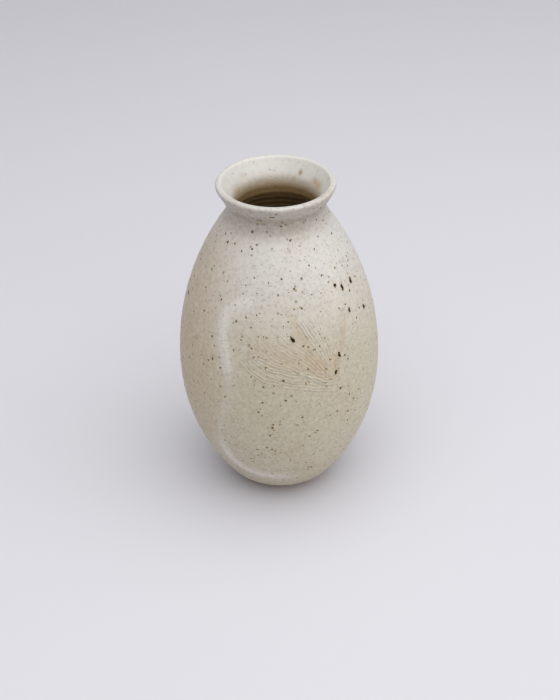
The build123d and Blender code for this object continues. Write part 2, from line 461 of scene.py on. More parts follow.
class Pot:
    """The scene's settings, the arcs that the pot is turned from and the relief of its surface.

    A depth sets a surface back into the wall. Places on the outside are bearings and heights.
    """

    def __init__(self):
        self.form, self.relief, self.speckle, self.colours, self.studio = (
            getattr(bpy.context.scene, name) for name in SETTINGS
        )
        form = self.form
        self.neck_height = form.height - form.collar_height
        self.neck = (form.neck_radius + form.neck_curve, self.neck_height)
        heel_side = form.foot_radius + form.foot_ledge - form.heel_round * math.cos(form.heel_end)
        self.heel = (heel_side, form.foot_height + form.heel_round * math.sin(form.heel_end))
        self.belly, self.belly_arc = self.from_widest(self.heel, form.heel_round)
        self.shoulder, self.shoulder_arc = self.from_widest(self.neck, -form.neck_curve)
        self.heel_start = way_to(self.belly, self.heel)
        self.shoulder_end = way_to(self.shoulder, self.neck)
        lean, lip = form.flare, form.lip_round
        rise = form.height - lip * (1 + math.sin(lean)) - self.neck_height - form.neck_curve * math.sin(lean)
        flare_foot = form.neck_radius + form.neck_curve * (1 - math.cos(lean))
        self.lip = (flare_foot + rise * math.tan(lean) - lip * math.cos(lean), form.height - lip)
        across, up = self.lip[0] - self.neck[0], self.lip[1] - self.neck[1]
        setback = form.neck_curve + form.wall - lip
        self.inside_lean = math.atan2(up, -across) - math.acos(setback / math.hypot(across, up))
        self.profile = np.array(self.outside(0.0, -form.glaze_end))
        ways = facing(self.profile)
        self.leans = np.arctan2(ways[:, 1], ways[:, 0])

    def from_widest(self, centre, radius):
        """Centre and radius of the arc from the widest place to a circle. A hollow circle has radius < 0."""
        widest, height = self.form.belly_radius, self.form.belly_height
        across, along = widest - centre[0], height - centre[1]
        bend = (across**2 + along**2 - radius**2) / (2 * (across - radius))
        return (widest - bend, height), bend

    def belly_and_neck(self, depth, lowest, lean):
        """The belly from its lowest angle, the shoulder and the neck as far as the flare."""
        curve = self.form.neck_curve + depth
        return (
            arc(self.belly, self.belly_arc - depth, lowest, 0)
            + arc(self.shoulder, self.shoulder_arc - depth, 0, self.shoulder_end)
            + arc(self.neck, curve, math.pi + self.shoulder_end, math.pi - lean)
        )

    def outside(self, depth, lowest):
        """Behind the outside by a depth, from an angle on the heel up to the lip's crest."""
        heel = arc(self.heel, self.form.heel_round - depth, lowest, self.heel_start)
        lip = arc(self.lip, self.form.lip_round - depth, -self.form.flare, math.pi / 2)
        return heel + self.belly_and_neck(depth, self.heel_start, self.form.flare) + lip

    def inside(self, cover):
        """Behind the inside by a depth, from the axis over the floor up to the lip's crest."""
        form = self.form
        corner = form.floor_corner + cover
        reach = self.belly_arc - form.wall - form.floor_corner
        height = form.floor_top + form.floor_corner
        turn = math.asin((height - form.belly_height) / reach)
        floor = [(0.0, height - corner)] + arc(polar(self.belly, reach, turn), corner, -math.pi / 2, turn)
        lip = arc(self.lip, form.lip_round - cover, math.pi - self.inside_lean, math.pi / 2)
        return floor + self.belly_and_neck(form.wall - cover, turn, self.inside_lean) + lip

    def covered_step(self, places):
        """Spacing for surfaces that lie covered: wide, but close where the neck and the lip bend sharply."""
        return np.where(places[:, 1] > self.neck_height - COVERED_NECK_ZONE, COVERED_BEND_STEP, COVERED_STEP)

    def radius_at(self, height):
        """Radius of the outside at a height."""
        return np.interp(height, self.profile[:, 1], self.profile[:, 0])

    def lean_at(self, height):
        """How far the outside faces up at a height, in radians."""
        return np.interp(height, self.profile[:, 1], self.leans)

    def outside_by(self, out, bearing, height):
        """Places in space that stand out from the outside by that much."""
        lean = self.lean_at(height)
        return point_on_pot(bearing, self.radius_at(height) + out * np.cos(lean), height + out * np.sin(lean))

    def imprint_ribs(self):
        """Each rib of the imprint as (points across and up in metres, strength along it)."""
        rng = np.random.default_rng(RIB_SEED)
        ribs = []
        for strength, route in RIBS:
            line = rounded([(math.radians(b) * self.form.belly_radius, z * MM) for b, z in route], 3)
            t = np.linspace(0, 1, len(line))
            unsteady = sum(rng.uniform(-1, 1) * np.sin(math.pi * k * t) for k in (2, 3, 5, 7, 11))
            line[:, 1] += RIB_TREMBLE * unsteady
            force = strength * np.minimum(1, 0.2 + t / 0.2) * (1 - smooth_step(0.72, 1.0, t))
            ribs.append((line, force * (0.8 + 0.2 * np.sin(9 * t + strength * 20))))
        return ribs

    def imprint(self, bearing, height):
        """How high the imprint's double ribs stand: 1 at a ridge, below 0 in a groove."""
        width, spread = self.relief.rib_width, self.relief.rib_spread / 2
        across = bearing * self.form.belly_radius
        ribs = self.imprint_ribs()
        every = np.concatenate([line for line, _ in ribs])
        low, high = every.min(0) - 4 * width, every.max(0) + 4 * width
        near = (across > low[0]) & (across < high[0]) & (height > low[1]) & (height < high[1])
        x, y = across[near], height[near]
        total = np.zeros(x.shape)
        for line, force in ribs:
            distance, side, pull = near_line(x, y, line, force)
            signed = distance * side
            ridges = bell(signed - spread, width) + 0.8 * bell(signed + spread, width)
            grooves = 0.8 * bell(signed, width) + 0.5 * bell(distance - 2.1 * spread, width)
            total += pull * (ridges - grooves)
        uneven = np.sin(2100 * x + 2 * np.sin(900 * y)) * np.sin(1700 * y + 2 * np.sin(1100 * x + 1))
        pressed = np.zeros(across.shape)
        pressed[near] = np.clip(total * (0.85 + 0.4 * uneven), -0.5, 1.1)
        return pressed

    def around_nodules(self, bearing, height):
        """1 in the middle of each large iron nodule, and falling off past its rim."""
        near = np.zeros(bearing.shape)
        for turn, place, wide, tall, _ in NODULES:
            middle = place * self.neck_height
            across = (bearing - math.radians(turn)) * self.radius_at(middle)
            near += bell(across, 0.6 * wide * MM) * bell(height - middle, 0.6 * tall * MM)
        return np.clip(near, 0, 1)

    def ribs_at(self, bearing, height):
        """The imprint, which is gone where a nodule melted over it."""
        return self.imprint(bearing, height) * (1 - np.clip(1.6 * self.around_nodules(bearing, height), 0, 1))

    def unevenness(self, bearing, height):
        """How far the hand-made surface stands out from the true form, without the imprint and the bead."""
        relief, crest = self.relief, self.form.height
        wander = 0
        for part, turns, climb, phase in WAVES:
            wander = wander + part * np.sin(turns * bearing + climb * height + phase)
        ripple = np.sin(2 * math.pi * height / relief.ripple_pitch + bearing)
        ripple = ripple * (1 + 0.5 * np.sin(3 * bearing))
        out = relief.wobble * 0.5 * (wander / 2 - 1) - relief.inset * 0.5 + relief.ripple * ripple
        return smooth_step(crest, crest - CALM_TOP, height) * out

    def run_line(self):
        """The glaze run's middle line, as bearings and heights, with its corners rounded off."""
        line = rounded([(x * self.form.belly_radius, z * self.neck_height) for x, z in RUN_ROUTE], 5)
        line = spaced(line, evenly(0.5 * MM))
        return np.arcsin(line[:, 0] / self.radius_at(line[:, 1])), line[:, 1]


# ---------------------------------------------------------------- mesh helpers


def grid_mesh(name, places, looped):
    """A mesh over a grid of places whose columns close round. Its rows close too if it is looped."""
    rows, columns = places.shape[:2]
    row, column = np.meshgrid(np.arange(rows if looped else rows - 1), np.arange(columns), indexing="ij")
    next_row, next_column = (row + 1) % rows, (column + 1) % columns
    corners = [(row, column), (row, next_column), (next_row, next_column), (next_row, column)]
    faces = np.stack([r * columns + c for r, c in corners], -1).reshape(-1, 4)
    mesh = bpy.data.meshes.new(name)
    mesh.vertices.add(rows * columns)
    mesh.vertices.foreach_set("co", places.reshape(-1).astype(np.float32))
    mesh.loops.add(faces.size)
    mesh.loops.foreach_set("vertex_index", faces.reshape(-1).astype(np.int32))
    mesh.polygons.add(len(faces))
    mesh.polygons.foreach_set("loop_start", np.arange(0, faces.size, 4, dtype=np.int32))
    mesh.update(calc_edges=True)
    mesh.validate()
    mesh.shade_smooth()
    return mesh


def listed_mesh(name, points, edges, faces):
    """A mesh from lists."""
    mesh = bpy.data.meshes.new(name)
    mesh.from_pydata(points, edges, faces)
    return mesh


def dome_faces(first, rings, sides, bottom=None):
    """Faces over a dome's point and its rings, numbered from first, and to a bottom point if it has one."""
    faces = []
    for k in range(sides):
        following = (k + 1) % sides
        faces.append((first, first + 1 + k, first + 1 + following))
        for ring in range(rings - 1):
            a = first + 1 + ring * sides
            faces.append((a + k, a + sides + k, a + sides + following, a + following))
        if bottom is not None:
            last = first + 1 + (rings - 1) * sides
            faces.append((last + k, bottom, last + following))
    return faces


def store(mesh, name, values):
    """Keeps one number for each vertex on the mesh."""
    layer = mesh.attributes.new(name, "FLOAT", "POINT")
    layer.data.foreach_set("value", np.asarray(values, np.float32).reshape(-1))


def stand(mesh, material, slot, *nodes):
    """Puts a mesh in the scene as a finished piece that stands for the given construction nodes."""
    piece = bpy.data.objects.new(mesh.name, mesh)
    bpy.context.scene.collection.objects.link(piece)
    if not mesh.materials:
        mesh.materials.append(material)
    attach(piece, "root")
    if nodes:
        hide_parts(*nodes)


# ---------------------------------------------------------------- nodes


class Nodes:
    """A node tree, with short ways to add to it. Any value may be a socket to link from."""

    def __init__(self, tree):
        self.tree = tree

    def join(self, value, socket):
        """Links an input from a socket, or sets its own value."""
        if isinstance(value, bpy.types.NodeSocket):
            self.tree.links.new(value, socket)
        elif socket.type == "RGBA":
            socket.default_value = (*value, 1.0)
        else:
            socket.default_value = value

    def add(self, kind, inputs=None, **choices):
        """Adds a node. Its inputs are given by name or by place."""
        made = self.tree.nodes.new(kind)
        for name, value in choices.items():
            setattr(made, name, value)
        for key, value in (inputs or {}).items():
            self.join(value, made.inputs[key])
        return made

    def reckon(self, operation, *values):
        """Arithmetic on numbers."""
        return self.add("ShaderNodeMath", dict(enumerate(values)), operation=operation).outputs[0]

    def plus(self, first, second):
        """A sum."""
        return self.reckon("ADD", first, second)

    def minus(self, first, second):
        """A difference."""
        return self.reckon("SUBTRACT", first, second)

    def times(self, first, second):
        """A product."""
        return self.reckon("MULTIPLY", first, second)

    def over(self, first, second):
        """A quotient."""
        return self.reckon("DIVIDE", first, second)

    def vectors(self, operation, first, second):
        """Arithmetic on two vectors, or on a vector and its scale."""
        place = "Scale" if operation == "SCALE" else 1
        return self.add("ShaderNodeVectorMath", {0: first, place: second}, operation=operation).outputs[0]

    def vector(self, **parts):
        """A vector from its parts."""
        return self.add("ShaderNodeCombineXYZ", parts).outputs[0]

    def height(self, where):
        """The Z of a place."""
        return self.add("ShaderNodeSeparateXYZ", {0: where}).outputs["Z"]

    def between(self, value, low, high, to_low=0.0, to_high=1.0):
        """A value mapped from one range to another, easing at both ends."""
        ends = {"Value": value, "From Min": low, "From Max": high, "To Min": to_low, "To Max": to_high}
        return self.add("ShaderNodeMapRange", ends, interpolation_type="SMOOTHSTEP").outputs["Result"]

    def cloud(self, where, scale, detail=3.0, roughness=0.5, output="Fac"):
        """Noise between 0 and 1. Scale is in waves for each metre."""
        inputs = {"Vector": where, "Scale": scale, "Detail": detail, "Roughness": roughness}
        return self.add("ShaderNodeTexNoise", inputs).outputs[output]

    def dots(self, where, scale, largest, kept):
        """Round dots at random places: scale sets how close, largest their radius, kept how many show."""
        cells = self.add("ShaderNodeTexVoronoi", {"Vector": where, "Scale": scale})
        parts = self.add("ShaderNodeSeparateColor", {"Color": cells.outputs["Color"]})
        radius = self.times(self.reckon("POWER", parts.outputs[0], 2.0), largest)
        shown = self.reckon("LESS_THAN", parts.outputs[1], kept)
        edge = self.over(cells.outputs["Distance"], self.plus(radius, 0.02))
        return self.times(self.between(edge, 1.3, 0.6), shown)

    def on_mesh(self, name):
        """A number kept on the mesh, for a material."""
        return self.add("ShaderNodeAttribute", attribute_name=name).outputs["Fac"]

    def named(self, name, kind="FLOAT"):
        """A value kept on the mesh, for a shape."""
        return self.add("GeometryNodeInputNamedAttribute", {"Name": name}, data_type=kind).outputs[0]

    def layers(self, base, *coats):
        """A colour with others laid over it, each by its own share."""
        for share, coat in coats:
            inputs = {0: share, 6: base, 7: coat}
            base = self.add("ShaderNodeMix", inputs, data_type="RGBA", clamp_factor=True).outputs[2]
        return base


# ---------------------------------------------------------------- materials


class Surface(Nodes):
    """A material with its surface shader and its object coordinates."""

    def __init__(self, name):
        self.material = bpy.data.materials.new(name)
        self.material.use_nodes = True
        super().__init__(self.material.node_tree)
        self.tree.nodes.clear()
        self.shader = self.add("ShaderNodeBsdfPrincipled")
        self.add("ShaderNodeOutputMaterial", {0: self.shader.outputs[0]})
        self.where = self.add("ShaderNodeTexCoord").outputs["Object"]

    def finish(self, colour, roughness, **more):
        """Sets the surface's colour, roughness and further inputs, and returns the material."""
        for name, value in {"Base Color": colour, "Roughness": roughness, **more}.items():
            self.join(value, self.shader.inputs[name])
        return self.material

    def grain(self, height, strength, distance):
        """Fine relief, too small for the mesh."""
        inputs = {"Height": height, "Strength": strength, "Distance": distance}
        return self.add("ShaderNodeBump", inputs).outputs[0]


def satin_glaze(colours, name, liner):
    """The satin oatmeal glaze. The liner's is less speckled, and painted with brown shade below the neck."""
    nodes = Surface(name)
    height = nodes.height(nodes.where)
    broad = nodes.cloud(nodes.where, 30.0, 2.0)
    mottle = nodes.cloud(nodes.where, 480.0, 6.0, 0.75)
    fine = nodes.dots(nodes.where, 760.0, 0.32, 0.6)
    sparse = nodes.dots(nodes.where, 330.0, 0.28, 0.3)
    speckling = 0.45 if liner else 1.0
    # Painted brown shade on the liner below the neck.
    inside = [(nodes.between(height, *TO_INSIDE_SHADE), colours.inside)] if liner else []
    base = nodes.layers(
        colours.low,
        # Lighter towards the shoulder: partly the glaze's own tone, partly painted light from above.
        (nodes.between(height, *TO_HIGH), colours.high),
        (nodes.between(height, *TO_LIP), colours.lip),
        *inside,
        (nodes.between(broad, 0.5, 0.8, 0.0, 0.22), colours.tan),
        # Painted warm shade on the left side.
        (nodes.on_mesh("blush"), colours.tan),
        # Real tan stains, with painted shade in the imprint's grooves and at the neck.
        (nodes.on_mesh("stain"), colours.tan),
        # The thick glaze's own paleness, and a painted highlight on the imprint's ridges.
        (nodes.on_mesh("pale"), colours.pale),
        # Painted shade in the neck's hollow, under the flare and at the front of the lip.
        (nodes.on_mesh("shade"), colours.painted_shade),
        (nodes.between(mottle, 0.48, 0.72, 0.0, 0.42 * speckling), colours.grey),
        (nodes.between(mottle, 0.50, 0.30, 0.0, 0.42 * speckling), colours.pale),
        (nodes.times(fine, 0.42 * speckling), colours.grey),
        (nodes.times(sparse, 0.6 * speckling), colours.olive),
        (nodes.on_mesh("halo"), colours.amber),
    )
    skin = nodes.plus(nodes.cloud(nodes.where, 900.0, 4.0, 0.6), nodes.times(fine, -0.4))
    sheen = nodes.between(mottle, 0.3, 0.7, 0.36, 0.5)
    return nodes.finish(base, sheen, Normal=nodes.grain(skin, 0.4, 0.1 * MM))


def melted_iron(colours, name, middle):
    """Iron that boiled through the glaze: dark in the middle, amber and half glassy at the rim."""
    nodes = Surface(name)
    patch = nodes.cloud(nodes.where, 1500.0)
    ragged = nodes.times(nodes.minus(patch, 0.5), 0.5)
    rim = nodes.plus(nodes.plus(nodes.on_mesh("rim"), ragged), nodes.times(nodes.on_mesh("tone"), 0.5))
    base = nodes.layers(middle, (nodes.between(rim, 0.25, 1.0), colours.amber))
    more = {"Specular IOR Level": 0.18, "Normal": nodes.grain(patch, 0.5, 0.1 * MM)}
    return nodes.finish(base, 0.5, **more)


def bare_stoneware(colours):
    """Unglazed fired clay: matte, gritty, with iron grains."""
    nodes = Surface("bare_stoneware")
    grit = nodes.cloud(nodes.where, 1600.0, 3.0, 0.7)
    base = nodes.layers(
        colours.clay,
        (nodes.between(nodes.cloud(nodes.where, 60.0), 0.3, 0.7, 0.0, 0.5), colours.tan),
        (nodes.between(grit, 0.55, 0.75, 0.0, 0.5), colours.grey),
        (nodes.dots(nodes.where, 380.0, 0.22, 0.4), colours.iron),
    )
    return nodes.finish(base, 0.86, Normal=nodes.grain(grit, 0.7, 0.2 * MM))


def table_paint(pale):
    """The table's plain paint, very slightly cloudy."""
    nodes = Surface("table_paint")
    dim = [0.97 * c for c in pale]
    return nodes.finish(nodes.layers(dim, (nodes.cloud(nodes.where, 3.0, 2.0), pale)), 0.8)


# ---------------------------------------------------------------- Geometry Nodes


class Growth(Nodes):
    """A Geometry Nodes tree with its named inputs."""

    def __init__(self, name, **sockets):
        super().__init__(bpy.data.node_groups.new(name, "GeometryNodeTree"))
        new_socket = self.tree.interface.new_socket
        new_socket("Geometry", in_out="INPUT", socket_type="NodeSocketGeometry")
        for label, kind in sockets.items():
            new_socket(label.replace("_", " "), in_out="INPUT", socket_type="NodeSocket" + kind)
        new_socket("Geometry", in_out="OUTPUT", socket_type="NodeSocketGeometry")
        self.given = self.add("NodeGroupInput").outputs
        self.where = self.add("GeometryNodeInputPosition").outputs[0]

    def finish(self, geometry):
        """Ends the tree: instances made real, the material set."""
        real = self.add("GeometryNodeRealizeInstances", {0: geometry}).outputs[0]
        smooth = self.add("GeometryNodeSetShadeSmooth", {0: real}).outputs[0]
        dressed = self.add("GeometryNodeSetMaterial", {0: smooth, "Material": self.given["Material"]})
        self.add("NodeGroupOutput", {0: dressed.outputs[0]})
        return self.tree


def wheel_tree():
    """Turns an outline once round the axis, with finger rings that climb like a screw."""
    nodes = Growth(
        "Turned on the wheel",
        Columns="Int",
        Ring_Pitch="Float",
        Ring_Depth="Float",
        Wander="Float",
        Seed="Int",
        Material="Material",
    )
    outline, columns = nodes.given["Geometry"], nodes.given["Columns"]
    rows = nodes.add("GeometryNodeAttributeDomainSize", {0: outline}).outputs["Point Count"]
    grid = nodes.add("GeometryNodeMeshGrid", {"Vertices X": nodes.plus(columns, 1.0), "Vertices Y": rows})
    index = nodes.add("GeometryNodeInputIndex").outputs[0]
    row = nodes.reckon("MODULO", index, rows)
    turn = nodes.times(nodes.over(nodes.reckon("FLOOR", nodes.over(index, rows)), columns), 2 * math.pi)

    def from_outline(value, kind):
        inputs = {"Geometry": outline, "Value": value, "Index": row}
        return nodes.add("GeometryNodeSampleIndex", inputs, data_type=kind, domain="POINT").outputs[0]

    def turned(vector):
        inputs = {"Vector": vector, "Angle": turn}
        return nodes.add("ShaderNodeVectorRotate", inputs, rotation_type="Z_AXIS").outputs[0]

    place = from_outline(nodes.where, "FLOAT_VECTOR")
    out = from_outline(nodes.named("out", "FLOAT_VECTOR"), "FLOAT_VECTOR")
    rings = from_outline(nodes.named("rings"), "FLOAT")
    climbing = nodes.over(nodes.height(place), nodes.given["Ring Pitch"])
    wave = nodes.reckon("SINE", nodes.plus(nodes.times(climbing, 2 * math.pi), turn))
    spot = turned(place)
    noise = nodes.cloud(nodes.vectors("ADD", spot, nodes.vector(X=nodes.given["Seed"])), 45.0, 2.0)
    drift = nodes.times(nodes.minus(noise, 0.5), nodes.given["Wander"])
    push = nodes.times(nodes.plus(nodes.times(wave, nodes.given["Ring Depth"]), drift), rings)
    moved = nodes.vectors("ADD", spot, nodes.vectors("SCALE", turned(out), push))
    shaped = nodes.add("GeometryNodeSetPosition", {"Geometry": grid.outputs[0], "Position": moved})
    closed = nodes.add("GeometryNodeMergeByDistance", {0: shaped.outputs[0], "Distance": 0.001 * MM})
    return nodes.finish(closed.outputs[0])


def speckle_tree():
    """Scatters iron specks of mixed sizes over a surface, each with its own tone."""
    nodes = Growth(
        "Iron speckle",
        Density="Float",
        Smallest="Float",
        Largest="Float",
        Seed="Int",
        Speck="Object",
        Material="Material",
    )
    seed, smallest = nodes.given["Seed"], nodes.given["Smallest"]

    def luck(low, high, salt):
        inputs = {2: low, 3: high, "Seed": nodes.plus(seed, salt)}
        return nodes.add("FunctionNodeRandomValue", inputs, data_type="FLOAT").outputs[1]

    crowd = nodes.between(nodes.cloud(nodes.where, 60.0, 2.0), 0.35, 0.7, 0.45, 1.5)
    density = nodes.times(nodes.times(crowd, nodes.named("speckled")), nodes.given["Density"])
    inputs = {"Mesh": nodes.given["Geometry"], "Density": density, "Seed": seed}
    scatter = nodes.add("GeometryNodeDistributePointsOnFaces", inputs, distribute_method="RANDOM").outputs
    rare = nodes.reckon("POWER", luck(0.0, 1.0, 1.0), 3.0)
    radius = nodes.plus(smallest, nodes.times(rare, nodes.minus(nodes.given["Largest"], smallest)))
    scale = nodes.vectors("SCALE", nodes.vector(X=luck(0.55, 1.0, 2.0), Y=1.0, Z=1.0), radius)
    inputs = {"Rotation": scatter["Rotation"], "Rotate By": nodes.vector(Z=luck(0.0, 2 * math.pi, 3.0))}
    spun = nodes.add("FunctionNodeRotateRotation", inputs, rotation_space="LOCAL").outputs[0]
    speck = nodes.add("GeometryNodeObjectInfo", {"Object": nodes.given["Speck"]}).outputs["Geometry"]
    inputs = {"Points": scatter["Points"], "Instance": speck, "Rotation": spun, "Scale": scale}
    placed = nodes.add("GeometryNodeInstanceOnPoints", inputs).outputs[0]
    inputs = {0: placed, "Name": "tone", "Value": luck(0.0, 1.0, 4.0)}
    toned = nodes.add("GeometryNodeStoreNamedAttribute", inputs, data_type="FLOAT", domain="INSTANCE")
    real = nodes.add("GeometryNodeRealizeInstances", {0: toned.outputs[0]}).outputs[0]
    ragged = nodes.vectors("SUBTRACT", nodes.cloud(nodes.where, 1700.0, 1.0, output="Color"), (0.5, 0.5, 0.5))
    shift = nodes.vectors("SCALE", ragged, 0.25 * MM)
    rough = nodes.add("GeometryNodeSetPosition", {"Geometry": real, "Offset": shift})
    return nodes.finish(rough.outputs[0])


def grow(name, mesh, tree, values):
    """Runs a tree on a mesh and returns the plain mesh that it makes."""
    base = bpy.data.objects.new(name, mesh)
    bpy.context.scene.collection.objects.link(base)
    grower = base.modifiers.new(tree.name, "NODES")
    grower.node_group = tree
    for item in tree.interface.items_tree:
        if item.in_out == "INPUT" and item.name in values:
            grower[item.identifier] = values[item.name]
    graph = bpy.context.evaluated_depsgraph_get()
    made = bpy.data.meshes.new_from_object(base.evaluated_get(graph), depsgraph=graph)
    base.modifiers.remove(grower)
    bpy.data.objects.remove(base)
    made.name = name
    return made


def turn_on_wheel(name, points, rings, values):
    """Turns an outline into a closed mesh. Rings says where the finger rings and the wander go."""
    chain = [(i, i + 1) for i in range(len(points) - 1)]
    mesh = listed_mesh(name + "_outline", [(r, 0.0, z) for r, z in points], chain, [])
    out = mesh.attributes.new("out", "FLOAT_VECTOR", "POINT")
    ways = facing(points)
    out.data.foreach_set("vector", np.stack([ways[:, 0], 0 * ways[:, 0], ways[:, 1]], -1).reshape(-1))
    store(mesh, "rings", rings)
    tree = bpy.data.node_groups.get("Turned on the wheel") or wheel_tree()
    return grow(name, mesh, tree, values)


# ---------------------------------------------------------------- operators


class POTTERY_OT_outer_coat(bpy.types.Operator):
    """Builds the speckled coat outside, with the imprint pressed into its front"""

    bl_idname = "pottery.outer_coat"
    bl_label = "Outer coat"

    def execute(self, context):
        pot = Pot()
        form, relief = pot.form, pot.relief

        def row_step(places):
            heights = places[:, 1]
            fine = (heights > FINE_HEIGHTS[0]) & (heights < FINE_HEIGHTS[1])
            plain = np.where(heights > pot.neck_height - NECK_ZONE, NECK_STEP, relief.plain_step)
            return np.where(fine, relief.fine_step, plain)

        face = spaced(pot.outside(0.0, -form.glaze_end), row_step)
        back = spaced(pot.outside(form.coat, -form.glaze_end), pot.covered_step)[::-1]
        bearings = self.bearings(form, relief)
        b, z = np.meshgrid(bearings, face[:, 1])
        ribs = pot.ribs_at(b, z)
        rows_from_edge = np.arange(len(face))[:, None]
        out = pot.unevenness(b, z) + relief.rib_height * ribs
        out = out - THIN_EDGE * form.coat * bell(rows_from_edge, THIN_ROWS)
        out = np.maximum(out, -DEEPEST_GROOVE * form.coat)
        ways = facing(face)
        front = point_on_pot(b, face[:, :1] + ways[:, :1] * out, face[:, 1:] + ways[:, 1:] * out)
        back_b, back_r = np.meshgrid(bearings, back[:, 0])
        rear = point_on_pot(back_b, back_r, np.repeat(back[:, 1:], len(bearings), 1))
        mesh = grid_mesh("speckled_coat", np.concatenate([front, rear]), True)
        hidden = np.zeros(rear.shape[:2])
        for name, values in self.marks(b, z, ribs, pot).items():
            store(mesh, name, np.concatenate([values, hidden]))
        stand(mesh, satin_glaze(pot.colours, "oatmeal_glaze", False), "satin_glaze", "outer_glaze")
        return {"FINISHED"}

    def bearings(self, form, relief):
        """Bearings of the mesh's columns: close over the imprint, wide at the back."""
        line = np.stack([np.linspace(-math.pi, math.pi, 20001), np.zeros(20001)], -1)

        def column_step(places):
            turn = np.degrees(places[:, 0])
            fine = (turn > FINE_BEARINGS[0]) & (turn < FINE_BEARINGS[1])
            side = (turn > SIDE_BEARINGS[0]) & (turn < SIDE_BEARINGS[1])
            return np.where(fine, relief.fine_step, np.where(side, SIDE_STEP, BACK_STEP)) / form.belly_radius

        return spaced(line, column_step)[:-1, 0]

    def marks(self, b, z, ribs, pot):
        """What the glaze's colour follows, for each vertex of the face: real stains and thick glaze, and
        painted shade and highlight.
        """
        form = pot.form
        # Painted shade: the imprint's grooves are darkened with tan; the imprint's stains below are real.
        stain = 0.5 * np.clip(-ribs, 0, 0.8)
        for x, y, wide, tall, lean, tan in IMPRINT_STAINS:
            turn = math.radians(lean)
            across, up = b * form.belly_radius / MM - x, z / MM - y
            u = across * math.cos(turn) + up * math.sin(turn)
            v = up * math.cos(turn) - across * math.sin(turn)
            stain = stain + tan * bell(u, wide) * bell(v, tall)
        # Painted shade: the hollow of the neck, the flare's underside and the front of the lip's crest are
        # darkened, and the tan stain is warmed there too.
        narrowest, below = pot.neck_height, form.height - z
        hollow = smooth_step(narrowest - 9 * MM, narrowest, z)
        hollow = hollow * smooth_step(narrowest + 9 * MM, narrowest + 2 * MM, z)
        underside = smooth_step(narrowest, narrowest + 6 * MM, z) * smooth_step(0.4 * MM, 2.2 * MM, below)
        bearing = np.degrees(b)
        crest = smooth_step(2.6 * MM, 1.4 * MM, below) * smooth_step(85, 45, np.abs(bearing))
        # Painted warm shade on the pot's left side, which faces away from the lamps.
        left = smooth_step(-15, -78, bearing) * smooth_step(150, 100, -bearing)
        left = left * smooth_step(25 * MM, 60 * MM, z) * smooth_step(178 * MM, 150 * MM, z)
        # Painted highlight on the imprint's ridges; beside the glaze run the paleness is the thick glaze's
        # own.
        pale = 0.4 * np.clip(ribs, 0, 1) + 0.7 * self.beside_run(b, z, pot)
        return {
            "stain": np.clip(stain + 0.12 * (hollow + underside), 0, 0.75),
            "pale": np.clip(pale, 0, 1),
            "shade": np.clip(0.36 * hollow + 0.33 * underside + 0.16 * crest, 0, 0.6),
            "halo": 0.4 * pot.around_nodules(b, z),
            "blush": 0.5 * left,
            "speckled": 1.0 * (z < form.height - 2 * MM),
        }

    def beside_run(self, b, z, pot):
        """How pale the coat is beside the glaze run, which blends into it: 1 at its middle."""
        bearing, height = pot.run_line()
        reach = pot.form.belly_radius
        line = np.stack([bearing * reach, height], -1)[::6]
        force = run_strength(np.linspace(0, 1, len(line)))
        distance, _, pull = near_line(b * reach, z, line, force)
        return pull * bell(distance, 0.5 * pot.relief.bead_width)


class POTTERY_OT_glaze_bead(bpy.types.Operator):
    """Builds the bead of thick glaze that ran down the front and along above the foot"""

    bl_idname = "pottery.glaze_bead"
    bl_label = "Glaze bead"

    def execute(self, context):
        pot = Pot()
        relief = pot.relief
        bearing, height = pot.run_line()
        along = headings(np.stack([bearing * pot.form.belly_radius, height], -1))
        progress = np.linspace(0, 1, len(bearing))[:, None]
        strength = run_strength(progress)
        swell = 0.85 + 0.15 * np.sin(progress * 21) * np.sin(progress * 9 + 1)
        half = relief.bead_width / 2 * swell * (0.3 + 0.7 * np.sqrt(strength))
        offsets = np.linspace(-1, 1, BEAD_COLUMNS)[None, :]
        b = bearing[:, None] - along[:, 1:] * offsets * half / pot.radius_at(height)[:, None]
        z = height[:, None] + along[:, :1] * offsets * half
        crown = np.cos(offsets * math.pi / 2) ** 1.5
        skin = pot.unevenness(b, z)
        proud = relief.bead_height * strength * crown - BEAD_SUNK * (1 - crown)
        top = pot.outside_by(proud + skin, b, z)
        under = pot.outside_by(skin - 3 * BEAD_SUNK, b, z)
        ring = np.concatenate([top, under[:, ::-1]], 1)
        mesh = grid_mesh("glaze_bead", ring[::-1], False)
        self.close_ends(mesh)
        reach = offsets * half / (0.5 * relief.bead_width)
        pale = strength * (0.7 * bell(reach, 1) + 0.1 * crown)
        store(mesh, "pale", np.concatenate([pale, 0 * pale], 1)[::-1])
        stand(mesh, bpy.data.materials["oatmeal_glaze"], "thick_glaze", "glaze_run")
        return {"FINISHED"}

    def close_ends(self, mesh):
        """Caps both ends of the bead."""
        work = bmesh.new()
        work.from_mesh(mesh)
        bmesh.ops.holes_fill(work, edges=[e for e in work.edges if e.is_boundary], sides=0)
        bmesh.ops.recalc_face_normals(work, faces=work.faces)
        work.to_mesh(mesh)
        work.free()
        mesh.shade_smooth()


